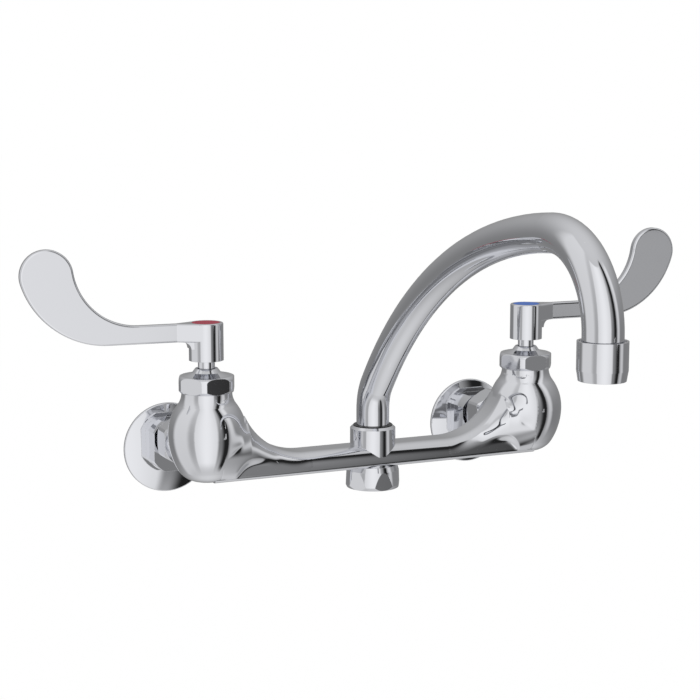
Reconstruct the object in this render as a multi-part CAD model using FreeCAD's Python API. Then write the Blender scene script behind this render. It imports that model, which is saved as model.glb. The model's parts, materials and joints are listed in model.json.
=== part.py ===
import FreeCAD, Part
import math
import os

# Wall-mount double-handle faucet with a swivel gooseneck spout and wrist-blade handles.
# Millimetres. The wall is the plane y = 0 and the faucet stands off it towards -y.
# The origin lies midway between the two supply pipe centres; z is up.

V = FreeCAD.Vector
UP = V(0, 0, 1)
ACROSS = V(1, 0, 0)

# Layout
SUPPLY_SPACING = 203.2
WALL_TO_VALVE = 73.0
INLET_RISE = 9.5
SPOUT_REACH = 241.3

# Fits
RUN_GAP = 0.05
THREAD_GAP = 0.05
SEAT_GAP = 0.04
CARTRIDGE_GAP = 0.1
CLIP_ROOM = 0.4
SCREW_HEAD_ROOM = 0.5

# Bridge bar
BAR_BOTTOM_Z = -4.7
BAR_HEIGHT = 12.1
BAR_DEPTH = 26.6
BAR_TOP_ROUND = 8.0
BAR_BOTTOM_ROUND = 3.3
CROSS_PASSAGE_RADIUS = 3.6

# Ceramic cartridge
CARTRIDGE_RADIUS = 10.4
SEAT_Z = 14.0
SEAT_COLUMN_WALL = 3.5
LOWER_PASSAGE_RADIUS = 6.0
SEAT_SEAL_HEIGHT = 2.0
DISC_RADIUS = 8.15
DISC_THICKNESS = 3.0
DISC_PORT_INNER = 2.6
DISC_PORT_OUTER = 6.4
DISC_PORT_ANGLE = 70.0
DISC_CHAMBER_HEIGHT = 5.0
WINDOW_WIDTH = 9.0
SLEEVE_FLANGE_THICKNESS = 2.0
SLEEVE_FLANGE_RIM = 2.4

# Valve bulbs
CHAMBER_DEPTH = 4.0
CHAMBER_FLOOR_WALL = 2.2
CHAMBER_TOP_Z = 26.0
BULB_WALL = 7.5
BULB_WIDEST_Z = 21.3
BULB_DROP = 0.3
BULB_BOTTOM_ROUND = 13.0
BULB_LOWER_ARC = 39.0
BULB_UPPER_ARC = 28.0
NECK_WALL = 3.6
NECK_ARC = 11.0
NECK_LAND = 0.4
NECK_THREAD_STEP = 0.7
NECK_THREAD_HEIGHT = 4.8
FLARE_ARC = 40.0
FLARE_MEET_ANGLE = 12.0
FLARE_OVERRUN_ANGLE = 3.0

# Bonnet nuts
BONNET_WALL = 1.5
BONNET_CORNER = 1.5
BONNET_TURN = 6.0
BONNET_ROOF = 3.0
BONNET_CONE_BASE = 8.0
BONNET_CONE_TOP = 6.3
BONNET_CONE_LIFT = 1.2
BONNET_CONE_HEIGHT = 2.3
BONNET_CHAMFER = 1.6
BONNET_SHOULDER = 3.2
BONNET_SHOULDER_RISE = 2.8
BONNET_SHOULDER_BULGE = 1.0
BONNET_DISH = 0.1
BONNET_RECESS_RADIUS = 5.6
BONNET_RECESS_DEPTH = 1.2

# Stems
STEM_RADIUS = 4.7
STEM_FLATS = 7.4
STEM_GRIP = 12.0
STEM_NECK_RADIUS = 3.6
STEM_FLANGE_THICKNESS = 2.9
TONGUE_WIDTH = 3.0
TONGUE_LENGTH = 10.0
TONGUE_DEPTH = 1.2
RING_SECTION = 1.8
RING_GROOVE_WIDTH = 2.2
STEM_RING_Z = 41.0

# Handles
HUB_RADIUS = 9.6
HUB_BOTTOM_Z = 63.0
HUB_HEIGHT = 21.0
HUB_ROUND = 0.8
HOT_HANDLE_TURN = -4.5
COLD_HANDLE_TURN = -1.5
ARM_HEIGHT = 10.2
BLADE_THICKNESS = 5.0
BLADE_ROUND = 1.3
BLADE_ROOT = 16.9
BLADE_TIP_REACH = 87.1
BLADE_TIP_RISE = 28.5
BLADE_TIP_RADIUS = 14.4
BLADE_INNER_ARC = 35.5
BLADE_OUTER_ARC = 48.6
UNDERARM_ROUND = 4.0
SCREW_RADIUS = 2.2
SCREW_LENGTH = 12.5
SCREW_HEAD_RADIUS = 4.2
SCREW_HEAD_HEIGHT = 2.8
SCREW_SLOT_WIDTH = 1.2
SCREW_SLOT_DEPTH = 1.2
SCREW_WEB = 2.2
BUTTON_RADIUS = 7.85
BUTTON_THICKNESS = 1.3
BUTTON_PLUG_HEIGHT = 1.6

# Inlet unions
FLANGE_RADIUS = 26.8
FLANGE_RIM = 1.8
FLANGE_DOME_RADIUS = 85.0
FLANGE_ROUND = 0.9
PIPE_THREAD_RADIUS = 9.45
PIPE_THREAD_DEPTH = 12.0
PIPE_WALL = 0.75
BLOCK_RISE = 4.5
BLOCK_CORNER = 2.2
BLOCK_LENGTH = 16.4
PAD_MARGIN = 2.5
PAD_CORNER = 1.8
PAD_FACE = 5.0
SPIGOT_RADIUS = 10.4
SPIGOT_LENGTH = 9.6
SPIGOT_BORE = 6.0
INLET_BORE = 5.2
UNION_WASHER_THICKNESS = 2.0
UNION_NUT_WALL = 3.05
UNION_NUT_CORNER = 1.6
UNION_NUT_LENGTH = 14.3
UNION_NUT_BACK = 3.0
UNION_NUT_CHAMFER = 1.4
TAIL_RADIUS = 8.5
TAIL_HOLE_GAP = 0.3
TAIL_COLLAR_THICKNESS = 2.5
TAIL_THREAD_RADIUS = 7.4
TAIL_THREAD_LENGTH = 13.0
TAIL_TO_NUT = 1.0
INLET_NECK_RADIUS = 10.0

# Spout
TUBE_RADIUS = 9.525
TUBE_WALL = 1.2
SPOUT_RISE_Z = 27.3
SPOUT_ROOT_ARC = 26.0
SPOUT_ROOT_ANGLE = 37.4
SPOUT_LONG_ANGLE = 49.2
SPOUT_TIP_ARC = 42.5
SPOUT_DROP = 11.2

# Swivel joint in the centre of the bar
COLLAR_WALL = 1.9
COLLAR_CHAMFER = 1.4
SWIVEL_CLEARANCE = 1.775
LEDGE_Z = 6.0
LEDGE_THICKNESS = 2.5
SWIVEL_HEIGHT = 6.6
SWIVEL_SPIGOT_HEIGHT = 9.0
SWIVEL_BORE = 6.0
SWIVEL_RING_INSET = 1.9
SWIVEL_TAIL_RADIUS = 8.25
SWIVEL_TAIL_DROP = 2.8
CLIP_THICKNESS = 1.2
CLIP_GROOVE_DEPTH = 1.05
CLIP_REACH = 1.5
CLIP_OPENING = 7.0
BEARING_HEIGHT = 3.5
BEARING_PROUD = 0.5

# Bottom cap
CAP_BOSS_RADIUS = 12.6
CAP_BOSS_DROP = 9.3
CAP_SEAL_THICKNESS = 1.0
CAP_SEAL_WIDTH = 2.2
CAP_FLOOR = 3.0
CAP_RIM_WALL = 1.55
CAP_FLARE = 2.0
CAP_SHOULDER_FLARE = 1.0
CAP_SHOULDER_DROP = 2.9
CAP_CHAMFER = 2.0
CAP_CHAMFER_WIDTH = 1.0
CAP_HEX_WALL = 2.55

# Aerator
TIP_COLLAR_WALL = 1.05
TIP_COLLAR_HEIGHT = 8.6
SHELL_WALL = 1.05
SHELL_ABOVE_TIP = 9.0
SHELL_BELOW_TIP = 8.9
SHELL_TAPER_HEIGHT = 4.9
SHELL_TAPER = 0.8
SHELL_LIP_HEIGHT = 1.2
SHELL_LIP_WIDTH = 1.6
AERATOR_WASHER_THICKNESS = 1.6
AERATOR_RIM = 1.6
AERATOR_HUB_RADIUS = 2.2
AERATOR_VANE_THICKNESS = 0.9
AERATOR_VANES = 8
SCREEN_THICKNESS = 0.5
SCREEN_RINGS = 3
SCREEN_SLOT_WIDTH = 0.8

# Derived places
VALVE_X = SUPPLY_SPACING / 2
BAR_TOP_Z = BAR_BOTTOM_Z + BAR_HEIGHT
BAR_CENTRE_Z = BAR_BOTTOM_Z + BAR_HEIGHT / 2
CARTRIDGE_BORE = CARTRIDGE_RADIUS + CARTRIDGE_GAP
CHAMBER_RADIUS = CARTRIDGE_BORE + CHAMBER_DEPTH
CHAMBER_FLOOR_Z = BAR_CENTRE_Z + CROSS_PASSAGE_RADIUS + CHAMBER_FLOOR_WALL
BULB_RADIUS = CHAMBER_RADIUS + BULB_WALL
BULB_BOTTOM_Z = BAR_BOTTOM_Z - BULB_DROP
NECK_RADIUS = CARTRIDGE_BORE + NECK_WALL
NECK_THREAD_RADIUS = NECK_RADIUS - NECK_THREAD_STEP
SLEEVE_BOTTOM_Z = SEAT_Z + SEAT_SEAL_HEIGHT
FIXED_DISC_TOP_Z = SLEEVE_BOTTOM_Z + DISC_THICKNESS
TURNING_DISC_Z = FIXED_DISC_TOP_Z + SEAT_GAP
TURNING_DISC_TOP_Z = TURNING_DISC_Z + DISC_THICKNESS
STEM_FLANGE_Z = FIXED_DISC_TOP_Z + DISC_CHAMBER_HEIGHT
SLEEVE_SHOULDER_Z = STEM_FLANGE_Z + STEM_FLANGE_THICKNESS + RUN_GAP
HUB_TOP_Z = HUB_BOTTOM_Z + HUB_HEIGHT
ARM_BOTTOM_Z = HUB_TOP_Z - ARM_HEIGHT
STEM_TOP_Z = HUB_BOTTOM_Z + STEM_GRIP
SCREW_SEAT_Z = STEM_TOP_Z + SCREW_WEB
BUTTON_SEAT_Z = HUB_TOP_Z - BUTTON_THICKNESS
BLOCK_FACE = PAD_FACE + BLOCK_LENGTH
SPIGOT_FACE = BLOCK_FACE + SPIGOT_LENGTH
WASHER_FACE = SPIGOT_FACE + UNION_WASHER_THICKNESS
TAIL_COLLAR_FACE = WASHER_FACE + TAIL_COLLAR_THICKNESS
NUT_BACK_FACE = TAIL_COLLAR_FACE + UNION_NUT_BACK
INLET_NECK_FACE = NUT_BACK_FACE + TAIL_TO_NUT
BLOCK_HALF = PIPE_THREAD_RADIUS + PIPE_WALL + BLOCK_RISE
TUBE_BORE = TUBE_RADIUS - TUBE_WALL
COLLAR_BORE = TUBE_RADIUS + SWIVEL_CLEARANCE
COLLAR_RADIUS = COLLAR_BORE + COLLAR_WALL
LEDGE_TOP_Z = LEDGE_Z + LEDGE_THICKNESS
SWIVEL_Z = LEDGE_TOP_Z + RUN_GAP
TUBE_FOOT_Z = SWIVEL_Z + SWIVEL_HEIGHT
BEARING_Z = TUBE_FOOT_Z + RUN_GAP
BEARING_TOP_Z = BEARING_Z + BEARING_HEIGHT
COLLAR_TOP_Z = BEARING_TOP_Z - BEARING_PROUD
CLIP_RADIUS = SWIVEL_TAIL_RADIUS + CLIP_REACH
CAP_BOSS_BORE = CLIP_RADIUS + CLIP_ROOM
CAP_BOSS_FOOT_Z = BAR_BOTTOM_Z - CAP_BOSS_DROP
CAP_FLOOR_Z = CAP_BOSS_FOOT_Z - CAP_SEAL_THICKNESS
CAP_BORE = CAP_BOSS_RADIUS + THREAD_GAP
SPOUT_TIP_ANGLE = 180.0 - SPOUT_ROOT_ANGLE - SPOUT_LONG_ANGLE


# Shapes used by several pieces

def at(radius, z):
    return V(radius, 0, z)


def sine(degrees):
    return math.sin(math.radians(degrees))


def cosine(degrees):
    return math.cos(math.radians(degrees))


def line(start, end):
    return Part.makeLine(start, end)


def arc_about(centre, start, end, long_way=False):
    """Arc from start to end about a centre, the short way round unless told otherwise."""
    radius = (start - centre).Length
    middle = (start - centre) + (end - centre)
    middle.normalize()
    side = -radius if long_way else radius
    return Part.Arc(start, centre + middle * side, end).toShape()


def bulged(start, end, bulge):
    """Arc that stands off its chord by bulge, to the right when looking from start to end."""
    chord = end - start
    outward = V(chord.z, 0, -chord.x)
    outward.normalize()
    return Part.Arc(start, (start + end) * 0.5 + outward * bulge, end).toShape()


def between(centre_a, radius_a, centre_b):
    """The point at radius_a from centre_a on the line towards centre_b."""
    step = centre_b - centre_a
    step.normalize()
    return centre_a + step * radius_a


def turned(edges):
    """Solid of revolution about the z axis from a closed outline in the xz plane."""
    return Part.Face(Part.Wire(edges)).revolve(V(0, 0, 0), UP, 360)


def turned_polygon(points):
    closed = points + [points[0]]
    return turned([line(a, b) for a, b in zip(closed, closed[1:])])


def upright(radius, low, high):
    return Part.makeCylinder(radius, high - low, V(0, 0, low))


def pipe_piece(outer, inner, low, high):
    return upright(outer, low, high).cut(upright(inner, low, high))


def inlet_rod(radius, near_wall, far_from_wall, z):
    """Rod along y; both ends are given as distances out from the wall."""
    start = V(0, WALL_TO_VALVE - near_wall, z)
    return Part.makeCylinder(radius, far_from_wall - near_wall, start, V(0, -1, 0))


def centred_box(width, depth, low, high):
    return Part.makeBox(width, depth, high - low, V(-width / 2, -depth / 2, low))


def hexagon(half_flats, low, high, flat_angle):
    """Six-sided prism whose first flat faces flat_angle, counted from +x."""
    corner = half_flats / cosine(30)
    angles = [flat_angle + 30 + 60 * side for side in range(7)]
    points = [V(corner * cosine(a), corner * sine(a), low) for a in angles]
    return Part.Face(Part.makePolygon(points)).extrude(V(0, 0, high - low))


def ring_seal(inner, outer, z):
    """Sealing ring with an eight-sided section between two radii."""
    half = (outer - inner) / 2
    corner = half / cosine(22.5)
    angles = [22.5 + 45 * side for side in range(8)]
    return turned_polygon([at(inner + half + corner * cosine(a), z + corner * sine(a)) for a in angles])


def mirrored(shape):
    return shape.mirror(V(0, 0, 0), ACROSS)


# Body casting

def bulb_outline_top():
    """Where the neck arc ends: it touches the upper bulb arc and runs up into the neck."""
    span = BULB_UPPER_ARC + NECK_ARC
    offset = NECK_RADIUS + NECK_ARC - (BULB_RADIUS - BULB_UPPER_ARC)
    return BULB_WIDEST_Z + math.sqrt(span ** 2 - offset ** 2)


NECK_ARC_TOP_Z = bulb_outline_top()
NECK_SHOULDER_Z = NECK_ARC_TOP_Z + NECK_LAND
NECK_TOP_Z = NECK_SHOULDER_Z + NECK_THREAD_HEIGHT
BONNET_CEILING_Z = NECK_TOP_Z + SLEEVE_FLANGE_THICKNESS
BONNET_TOP_Z = BONNET_CEILING_Z + BONNET_ROOF


def valve_bulb():
    """Turned outside of one valve, from its round bottom to its threaded neck."""
    lower_centre = at(BULB_RADIUS - BULB_LOWER_ARC, BULB_WIDEST_Z)
    upper_centre = at(BULB_RADIUS - BULB_UPPER_ARC, BULB_WIDEST_Z)
    neck_centre = at(NECK_RADIUS + NECK_ARC, NECK_ARC_TOP_Z)
    round_z = BULB_BOTTOM_Z + BULB_BOTTOM_ROUND
    reach = BULB_LOWER_ARC - BULB_BOTTOM_ROUND
    round_radius = lower_centre.x + math.sqrt(reach ** 2 - (BULB_WIDEST_Z - round_z) ** 2)
    round_centre = at(round_radius, round_z)
    foot = at(round_radius, BULB_BOTTOM_Z)
    low_joint = between(lower_centre, BULB_LOWER_ARC, round_centre)
    widest = at(BULB_RADIUS, BULB_WIDEST_Z)
    high_joint = between(upper_centre, BULB_UPPER_ARC, neck_centre)
    neck = at(NECK_RADIUS, NECK_ARC_TOP_Z)
    shoulder = at(NECK_RADIUS, NECK_SHOULDER_Z)
    thread_foot = at(NECK_THREAD_RADIUS, NECK_SHOULDER_Z)
    thread_top = at(NECK_THREAD_RADIUS, NECK_TOP_Z)
    return turned([
        line(at(0, BULB_BOTTOM_Z), foot),
        arc_about(round_centre, foot, low_joint),
        arc_about(lower_centre, low_joint, widest),
        arc_about(upper_centre, widest, high_joint),
        arc_about(neck_centre, high_joint, neck),
        line(neck, shoulder),
        line(shoulder, thread_foot),
        line(thread_foot, thread_top),
        line(thread_top, at(0, NECK_TOP_Z)),
        line(at(0, NECK_TOP_Z), at(0, BULB_BOTTOM_Z)),
    ])


def flare_arc_points():
    """Flare from bar top to bulb: arc centre, start on the bar, end inside the bulb."""
    bulb_centre = at(BULB_RADIUS - BULB_UPPER_ARC, BULB_WIDEST_Z)
    rise = BAR_TOP_Z + FLARE_ARC - BULB_WIDEST_Z
    both = 2 * BULB_UPPER_ARC * FLARE_ARC * cosine(FLARE_MEET_ANGLE)
    apart = math.sqrt(BULB_UPPER_ARC ** 2 + FLARE_ARC ** 2 + both)
    centre = at(bulb_centre.x + math.sqrt(apart ** 2 - rise ** 2), BAR_TOP_Z + FLARE_ARC)
    towards_bulb = math.degrees(math.acos((centre.x - bulb_centre.x) / apart))
    share = (FLARE_ARC ** 2 + apart ** 2 - BULB_UPPER_ARC ** 2) / (2 * FLARE_ARC * apart)
    half_gap = math.degrees(math.acos(share))
    sweep = 90 - towards_bulb - half_gap + FLARE_OVERRUN_ANGLE
    start = at(centre.x, BAR_TOP_Z)
    end = centre - V(FLARE_ARC * sine(sweep), 0, FLARE_ARC * cosine(sweep))
    return centre, start, end


def bridge_bar():
    """Bar between the valve axes whose top sweeps up into both bulbs, edges rounded."""
    centre, start, end = flare_arc_points()
    right = V(VALVE_X, 0, 0)

    def on_right(point):
        return V(VALVE_X - point.x, 0, point.z)

    def on_left(point):
        return V(point.x - VALVE_X, 0, point.z)

    crown = at(0, end.z)
    floor = at(0, BAR_BOTTOM_Z)
    outline = [
        line(on_left(floor), on_left(crown)),
        line(on_left(crown), on_left(end)),
        arc_about(on_left(centre), on_left(end), on_left(start)),
        line(on_left(start), on_right(start)),
        arc_about(on_right(centre), on_right(start), on_right(end)),
        line(on_right(end), on_right(crown)),
        line(on_right(crown), right + V(0, 0, BAR_BOTTOM_Z)),
        line(right + V(0, 0, BAR_BOTTOM_Z), on_left(floor)),
    ]
    slab = Part.Face(Part.Wire(outline)).extrude(V(0, BAR_DEPTH, 0))
    slab.translate(V(0, -BAR_DEPTH / 2, 0))
    slab = slab.makeFillet(BAR_TOP_ROUND, long_edges(slab, BAR_TOP_Z, math.inf))
    return slab.makeFillet(BAR_BOTTOM_ROUND, long_edges(slab, -math.inf, BAR_BOTTOM_Z))


def long_edges(slab, lowest, highest):
    """Edges that run along the bar on its front and back faces within a height band."""
    slack = 1e-6
    chosen = []
    for edge in slab.Edges:
        box = edge.BoundBox
        along_face = box.YLength < slack
        if along_face and box.ZMin > lowest - slack and box.ZMax < highest + slack:
            chosen.append(edge)
    return chosen


def valve_cavity():
    """Water space of one valve: outer chamber, seat column, lower passage, cartridge bore."""
    chamber = upright(CHAMBER_RADIUS, CHAMBER_FLOOR_Z, CHAMBER_TOP_Z)
    column = upright(LOWER_PASSAGE_RADIUS + SEAT_COLUMN_WALL, CHAMBER_FLOOR_Z, SEAT_Z)
    passage_foot = BAR_CENTRE_Z - CROSS_PASSAGE_RADIUS
    cavity = chamber.cut(column)
    cavity = cavity.fuse(upright(LOWER_PASSAGE_RADIUS, passage_foot, SEAT_Z))
    cavity = cavity.fuse(upright(CARTRIDGE_BORE, SEAT_Z, NECK_TOP_Z))
    thread_end = INLET_NECK_FACE + TAIL_THREAD_LENGTH + RUN_GAP
    thread = inlet_rod(TAIL_THREAD_RADIUS + THREAD_GAP, INLET_NECK_FACE, thread_end, INLET_RISE)
    chamber_side = WALL_TO_VALVE - (CHAMBER_RADIUS + LOWER_PASSAGE_RADIUS + SEAT_COLUMN_WALL) / 2
    bore = inlet_rod(INLET_BORE, thread_end, chamber_side, INLET_RISE)
    return cavity.fuse(thread).fuse(bore)


def swivel_socket():
    """Stepped bore in the middle of the bar that holds the spout swivel."""
    upper = upright(COLLAR_BORE, LEDGE_TOP_Z, COLLAR_TOP_Z)
    ledge = upright(SWIVEL_TAIL_RADIUS + RUN_GAP, LEDGE_Z, LEDGE_TOP_Z)
    lower = upright(CAP_BOSS_BORE, CAP_BOSS_FOOT_Z, LEDGE_Z)
    return upper.fuse(ledge).fuse(lower)


def collar():
    """Raised ring round the spout with a small chamfer at its mouth."""
    rim = COLLAR_RADIUS - COLLAR_CHAMFER
    return turned_polygon([
        at(0, BAR_CENTRE_Z),
        at(COLLAR_RADIUS, BAR_CENTRE_Z),
        at(COLLAR_RADIUS, COLLAR_TOP_Z - COLLAR_CHAMFER),
        at(rim, COLLAR_TOP_Z),
        at(0, COLLAR_TOP_Z),
    ])


def faucet_body():
    body = bridge_bar()
    body = body.fuse(collar())
    body = body.fuse(upright(CAP_BOSS_RADIUS, CAP_BOSS_FOOT_Z, BAR_CENTRE_Z))
    neck = inlet_rod(INLET_NECK_RADIUS, INLET_NECK_FACE, WALL_TO_VALVE - BULB_WALL, INLET_RISE)
    valve = valve_bulb().fuse(neck)
    cavity = valve_cavity()
    for side in (-1, 1):
        place = V(side * VALVE_X, 0, 0)
        body = body.fuse(valve.translated(place))
    for side in (-1, 1):
        place = V(side * VALVE_X, 0, 0)
        body = body.cut(cavity.translated(place))
    cross = Part.makeCylinder(
        CROSS_PASSAGE_RADIUS, SUPPLY_SPACING, V(-VALVE_X, 0, BAR_CENTRE_Z), ACROSS)
    body = body.cut(cross).cut(swivel_socket())
    return body.removeSplitter()


def bottom_cap():
    """Hexagonal cap screwed on the boss under the bar; its corners flare downwards."""
    rim = CAP_BORE + CAP_RIM_WALL
    widest = rim + CAP_FLARE
    foot = CAP_FLOOR_Z - CAP_FLOOR
    outside = turned_polygon([
        at(0, BAR_BOTTOM_Z),
        at(rim, BAR_BOTTOM_Z),
        at(rim + CAP_SHOULDER_FLARE, BAR_BOTTOM_Z - CAP_SHOULDER_DROP),
        at(widest, foot + CAP_CHAMFER),
        at(widest - CAP_CHAMFER_WIDTH, foot),
        at(0, foot),
    ])
    blank = outside.common(hexagon(CAP_BORE + CAP_HEX_WALL, foot, BAR_BOTTOM_Z, -90))
    return blank.cut(upright(CAP_BORE, CAP_FLOOR_Z, BAR_BOTTOM_Z))


def bottom_cap_seal():
    return pipe_piece(CAP_BOSS_RADIUS, CAP_BOSS_RADIUS - CAP_SEAL_WIDTH,
                      CAP_FLOOR_Z, CAP_BOSS_FOOT_Z)


# Valve cartridge

def seat_seal():
    outer = LOWER_PASSAGE_RADIUS + SEAT_COLUMN_WALL - SEAT_GAP
    return pipe_piece(outer, LOWER_PASSAGE_RADIUS, SEAT_Z, SLEEVE_BOTTOM_Z)


def ported_disc(low, high, port_angle):
    """Ceramic disc with two opposite sector ports centred on port_angle."""
    disc = upright(DISC_RADIUS, low, high)
    for turn in (0, 180):
        sector = Part.makeCylinder(
            DISC_PORT_OUTER, high - low, V(0, 0, low), UP, DISC_PORT_ANGLE)
        sector.rotate(V(0, 0, 0), UP, port_angle + turn - DISC_PORT_ANGLE / 2)
        disc = disc.cut(sector.cut(upright(DISC_PORT_INNER, low, high)))
    return disc


def fixed_disc():
    return ported_disc(SLEEVE_BOTTOM_Z, FIXED_DISC_TOP_Z, 0)


def turning_disc():
    """Upper disc, closed over the lower one, with the slot that the stem tongue drives."""
    disc = ported_disc(TURNING_DISC_Z, TURNING_DISC_TOP_Z, 90)
    slot_floor = TURNING_DISC_TOP_Z - TONGUE_DEPTH - SEAT_GAP
    slot = centred_box(TONGUE_LENGTH + SEAT_GAP * 2, TONGUE_WIDTH + SEAT_GAP * 2,
                       slot_floor, TURNING_DISC_TOP_Z)
    return disc.cut(slot)


def cartridge_sleeve():
    """Brass sleeve that holds the discs below and guides the stem above."""
    sleeve = upright(CARTRIDGE_RADIUS, SLEEVE_BOTTOM_Z, NECK_TOP_Z)
    flange = upright(CARTRIDGE_RADIUS + SLEEVE_FLANGE_RIM, NECK_TOP_Z, BONNET_CEILING_Z)
    sleeve = sleeve.fuse(flange)
    disc_bore = upright(DISC_RADIUS + RUN_GAP, SLEEVE_BOTTOM_Z, SLEEVE_SHOULDER_Z)
    guide = upright(STEM_RADIUS + RUN_GAP, SLEEVE_SHOULDER_Z, BONNET_CEILING_Z)
    window = centred_box(CARTRIDGE_BORE * 2, WINDOW_WIDTH, FIXED_DISC_TOP_Z, STEM_FLANGE_Z)
    return sleeve.cut(disc_bore).cut(guide).cut(window)


def stem():
    """Turning spindle: tongue, flange, sealed shank and two-flat drive end."""
    tongue = centred_box(TONGUE_LENGTH, TONGUE_WIDTH,
                         TURNING_DISC_TOP_Z - TONGUE_DEPTH, STEM_FLANGE_Z)
    neck = upright(STEM_NECK_RADIUS, TURNING_DISC_TOP_Z + SEAT_GAP, STEM_FLANGE_Z)
    flange_top = STEM_FLANGE_Z + STEM_FLANGE_THICKNESS
    flange = upright(DISC_RADIUS, STEM_FLANGE_Z, flange_top)
    shank = upright(STEM_RADIUS, STEM_FLANGE_Z, HUB_BOTTOM_Z)
    drive = upright(STEM_RADIUS, HUB_BOTTOM_Z, STEM_TOP_Z)
    flats = centred_box(STEM_RADIUS * 2, STEM_FLATS, HUB_BOTTOM_Z, STEM_TOP_Z)
    body = tongue.fuse([neck, flange, shank, drive.common(flats)])
    groove = pipe_piece(STEM_RADIUS + RUN_GAP, stem_ring_inner() - SEAT_GAP,
                        STEM_RING_Z - RING_GROOVE_WIDTH / 2, STEM_RING_Z + RING_GROOVE_WIDTH / 2)
    tapped = upright(SCREW_RADIUS + THREAD_GAP, SCREW_SEAT_Z - SCREW_LENGTH - SEAT_GAP, STEM_TOP_Z)
    return body.cut(groove).cut(tapped).removeSplitter()


def stem_ring_inner():
    return STEM_RADIUS + RUN_GAP - SEAT_GAP - RING_SECTION


def stem_oring():
    return ring_seal(stem_ring_inner(), stem_ring_inner() + RING_SECTION, STEM_RING_Z)


def bonnet_nut():
    """Hexagonal nut with a turned crown that rises to a cone round the stem."""
    half_flats = NECK_THREAD_RADIUS + BONNET_WALL
    corner = half_flats + BONNET_CORNER
    low = NECK_SHOULDER_Z + CARTRIDGE_GAP
    crown_edge = corner - BONNET_SHOULDER
    cone_foot_z = BONNET_TOP_Z + BONNET_CONE_LIFT
    cone_top_z = cone_foot_z + BONNET_CONE_HEIGHT
    shoulder_foot = at(corner, BONNET_TOP_Z - BONNET_SHOULDER)
    shoulder_top = at(crown_edge, shoulder_foot.z + BONNET_SHOULDER_RISE)
    cone_foot = at(BONNET_CONE_BASE, cone_foot_z)
    outside = turned([
        line(at(0, low), at(corner - BONNET_CHAMFER, low)),
        line(at(corner - BONNET_CHAMFER, low), at(corner, low + BONNET_CHAMFER)),
        line(at(corner, low + BONNET_CHAMFER), shoulder_foot),
        bulged(shoulder_foot, shoulder_top, BONNET_SHOULDER_BULGE),
        bulged(shoulder_top, cone_foot, -BONNET_DISH),
        line(cone_foot, at(BONNET_CONE_TOP, cone_top_z)),
        line(at(BONNET_CONE_TOP, cone_top_z), at(0, cone_top_z)),
        line(at(0, cone_top_z), at(0, low)),
    ])
    nut = outside.common(hexagon(half_flats, low, cone_top_z, -90 - BONNET_TURN))
    thread = upright(NECK_THREAD_RADIUS + THREAD_GAP, low, BONNET_CEILING_Z)
    stem_hole = upright(STEM_RADIUS + CARTRIDGE_GAP, BONNET_CEILING_Z, cone_top_z)
    recess = upright(BONNET_RECESS_RADIUS, cone_top_z - BONNET_RECESS_DEPTH, cone_top_z)
    return nut.cut(thread).cut(stem_hole).cut(recess)


# Handle

def blade_plate():
    """Flat wrist blade: straight arm that curves up to a round tip."""
    tip = at(BLADE_TIP_REACH, HUB_TOP_Z + BLADE_TIP_RISE)
    inner_z = HUB_TOP_Z + BLADE_INNER_ARC
    outer_z = ARM_BOTTOM_Z + BLADE_OUTER_ARC
    inner_span = BLADE_INNER_ARC + BLADE_TIP_RADIUS
    outer_span = BLADE_OUTER_ARC - BLADE_TIP_RADIUS
    inner_centre = at(tip.x - math.sqrt(inner_span ** 2 - (inner_z - tip.z) ** 2), inner_z)
    outer_centre = at(tip.x - math.sqrt(outer_span ** 2 - (outer_z - tip.z) ** 2), outer_z)
    inner_start = at(inner_centre.x, HUB_TOP_Z)
    inner_end = between(inner_centre, BLADE_INNER_ARC, tip)
    outer_start = between(outer_centre, BLADE_OUTER_ARC, tip)
    outer_end = at(outer_centre.x, ARM_BOTTOM_Z)
    outline = [
        line(at(0, HUB_TOP_Z), inner_start),
        arc_about(inner_centre, inner_start, inner_end),
        arc_about(tip, inner_end, outer_start, long_way=True),
        arc_about(outer_centre, outer_start, outer_end),
        line(outer_end, at(0, ARM_BOTTOM_Z)),
        line(at(0, ARM_BOTTOM_Z), at(0, HUB_TOP_Z)),
    ]
    plate = Part.Face(Part.Wire(outline)).extrude(V(0, BLADE_THICKNESS, 0))
    return plate.translated(V(0, -BLADE_THICKNESS / 2, 0))


def arm_root(low, high, inset=0.0):
    """Wedge from the hub's sides to the plate, drawn in plan and set in at its sides."""
    hub = HUB_RADIUS - inset
    half = BLADE_THICKNESS / 2 - inset
    bearing = math.degrees(math.atan2(half, BLADE_ROOT))
    opening = math.degrees(math.acos(hub / math.hypot(BLADE_ROOT, half)))
    touch = V(hub * cosine(bearing + opening), hub * sine(bearing + opening), low)
    end = V(BLADE_ROOT, half, low)
    centre = V(0, 0, low)
    corners = [centre, touch, end, V(end.x, -end.y, low), V(touch.x, -touch.y, low), centre]
    return Part.Face(Part.makePolygon(corners)).extrude(V(0, 0, high - low))


def underarm():
    """Rounded inside corner between the hub and the underside of the arm."""
    reach = HUB_RADIUS + UNDERARM_ROUND
    drop = ARM_BOTTOM_Z - UNDERARM_ROUND
    curve = arc_about(at(reach, drop), at(reach, ARM_BOTTOM_Z), at(HUB_RADIUS, drop))
    outline = [
        line(at(0, ARM_BOTTOM_Z), at(reach, ARM_BOTTOM_Z)),
        curve,
        line(at(HUB_RADIUS, drop), at(0, drop)),
        line(at(0, drop), at(0, ARM_BOTTOM_Z)),
    ]
    block = Part.Face(Part.Wire(outline)).extrude(V(0, HUB_RADIUS * 2, 0))
    block.translate(V(0, -HUB_RADIUS, 0))
    return block.common(arm_root(drop, ARM_BOTTOM_Z, BLADE_ROUND))


def is_rim(edge):
    """True for the long edges of arm and blade, both sides, beyond the hub."""
    box = edge.BoundBox
    return box.XMax > HUB_RADIUS and box.XLength > BLADE_ROUND


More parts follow.
